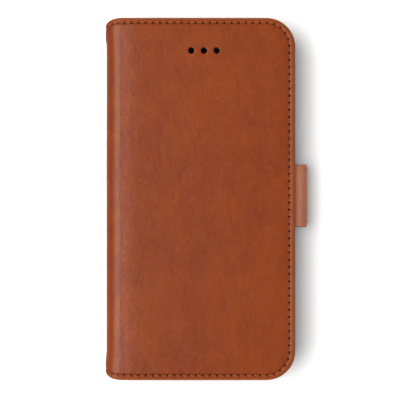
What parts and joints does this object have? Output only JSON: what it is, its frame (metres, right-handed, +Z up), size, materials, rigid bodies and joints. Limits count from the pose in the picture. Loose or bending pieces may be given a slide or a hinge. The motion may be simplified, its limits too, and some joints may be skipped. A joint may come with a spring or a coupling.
{
  "type": "phone wallet case",
  "caption": "Closed leather wallet case for a small phone, with a stitched hinged cover, rounded spine, magnetic strap, card slots and a flexible phone tray.",
  "frame": {"origin": "on the table, under the middle of the closed case with its strap: centre of the bounding box, at the back cover's outer face", "axes": "+X across the case from the spine to the strap, +Y along it towards the earpiece holes, +Z up through the front cover"},
  "size_m": [0.082, 0.146, 0.0188],
  "materials": {
    "leather": "semi-gloss polished tan leather with a clouded tone",
    "lining": "matt, slightly darker tan lining leather",
    "thread": "waxed brown sewing thread",
    "board": "grey-brown fibre board",
    "tray": "satin dark flexible plastic",
    "magnet": "plated"
  },
  "bodies": {
    "back_cover": {"back_skin": "leather", "back_board": "board", "back_lining": "lining", "phone_tray": "tray", "strap_anchor": "leather", "back_stitching": "thread", "back_crease_skin": "leather", "back_crease_lining": "lining", "back_crease_stitching": "thread", "strap_lower_bend_leather": "leather", "strap_lower_bend_lining": "lining"},
    "spine": {"spine_skin": "leather", "spine_lining": "lining", "spine_stitching": "thread"},
    "front_cover": {"front_skin": "leather", "front_board": "board", "front_lining": "lining", "front_magnet": "magnet", "front_stitching": "thread", "cash_pocket_panel": "lining", "card_slot_upper": "lining", "card_slot_middle": "lining", "card_slot_lower": "lining", "card_slot_stitching": "thread", "front_crease_skin": "leather", "front_crease_lining": "lining", "front_crease_stitching": "thread"},
    "strap_side": {"strap_side_leather": "leather", "strap_side_lining": "lining", "strap_side_stitching": "thread"},
    "strap_tip": {"strap_tip_leather": "leather", "strap_tip_lining": "lining", "strap_tip_core": "board", "strap_magnet": "magnet", "strap_tip_stitching": "thread", "strap_upper_bend_leather": "leather", "strap_upper_bend_lining": "lining"}
  },
  "joints": [
    {"name": "spine_fold", "type": "hinge", "parent": "back_cover", "child": "spine", "pos_m": [-0.03911, 0, 0.00184], "axis": [0, -1, 0], "range_deg": [0, 90], "deforming": ["back_crease_skin", "back_crease_lining", "back_crease_stitching"]},
    {"name": "cover_fold", "type": "hinge", "parent": "spine", "child": "front_cover", "pos_m": [-0.03911, 0, 0.01696], "axis": [0, -1, 0], "range_deg": [0, 90], "deforming": ["front_crease_skin", "front_crease_lining", "front_crease_stitching"]},
    {"name": "strap_root_fold", "type": "hinge", "parent": "back_cover", "child": "strap_side", "pos_m": [0.03969, 0, 0.00166], "axis": [0, 1, 0], "range_deg": [0, 90], "deforming": ["strap_lower_bend_leather", "strap_lower_bend_lining"]},
    {"name": "strap_tip_fold", "type": "hinge", "parent": "strap_side", "child": "strap_tip", "pos_m": [0.03969, 0, 0.01284], "axis": [0, 1, 0], "range_deg": [0, 90], "deforming": ["strap_upper_bend_leather", "strap_upper_bend_lining"]}
  ],
  "couplings": [
    {"joint": "strap_root_fold", "follows": "cover_fold", "ratio": 1},
    {"joint": "strap_tip_fold", "follows": "cover_fold", "ratio": 1}
  ]
}
